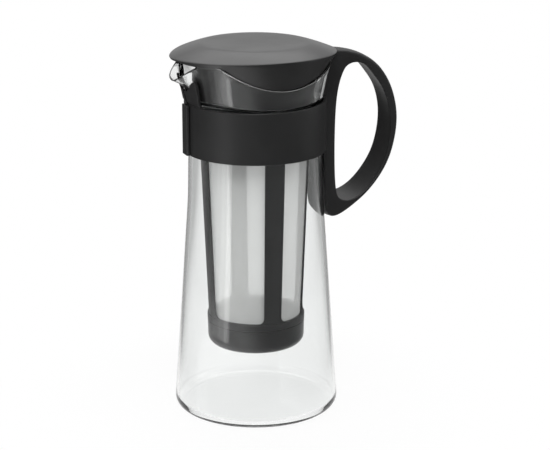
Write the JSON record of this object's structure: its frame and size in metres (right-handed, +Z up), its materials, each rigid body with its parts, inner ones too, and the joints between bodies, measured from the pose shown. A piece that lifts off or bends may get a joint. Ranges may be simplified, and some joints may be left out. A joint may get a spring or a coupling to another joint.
{
  "type": "cold brew coffee maker",
  "caption": "Waisted glass jug with a drawn pouring lip, black neck band with a loop handle, a hanging mesh strainer with a push-on cup, and an oval lid that plugs into the strainer",
  "frame": {"origin": "middle of the jug's flat base, on the table", "axes": "+Z up along the jug's axis, the pouring lip points to -X and the handle to +X"},
  "size_m": [0.1382, 0.097, 0.2198],
  "materials": {
    "clear_glass": "clear, smooth, fire-polished rim",
    "band_plastic": "black, satin",
    "clasp_plastic": "black, satin",
    "strainer_plastic": "black, satin",
    "filter_mesh": "pale grey fine woven mesh, see-through",
    "cup_plastic": "black, satin",
    "lid_plastic": "black, satin, fine grain"
  },
  "bodies": {
    "jug": {"glass_jug": "clear_glass", "handle_band": "band_plastic"},
    "clasp": {"band_clasp": "clasp_plastic"},
    "strainer": {"strainer_frame": "strainer_plastic", "strainer_mesh": "filter_mesh"},
    "cup": {"strainer_cup": "cup_plastic"},
    "lid": {"lid": "lid_plastic"}
  },
  "joints": [
    {"name": "strainer_lift", "type": "slide", "parent": "jug", "child": "strainer", "axis": [0, 0, 1], "range_m": [0, 0.18]},
    {"name": "lid_lift", "type": "slide", "parent": "strainer", "child": "lid", "axis": [0, 0, 1], "range_m": [0, 0.06]},
    {"name": "cup_pull", "type": "slide", "parent": "strainer", "child": "cup", "axis": [0, 0, -1], "range_m": [0, 0.03]},
    {"name": "clasp_slide", "type": "slide", "parent": "jug", "child": "clasp", "axis": [0, 0, -1], "range_m": [0, 0.032]}
  ]
}
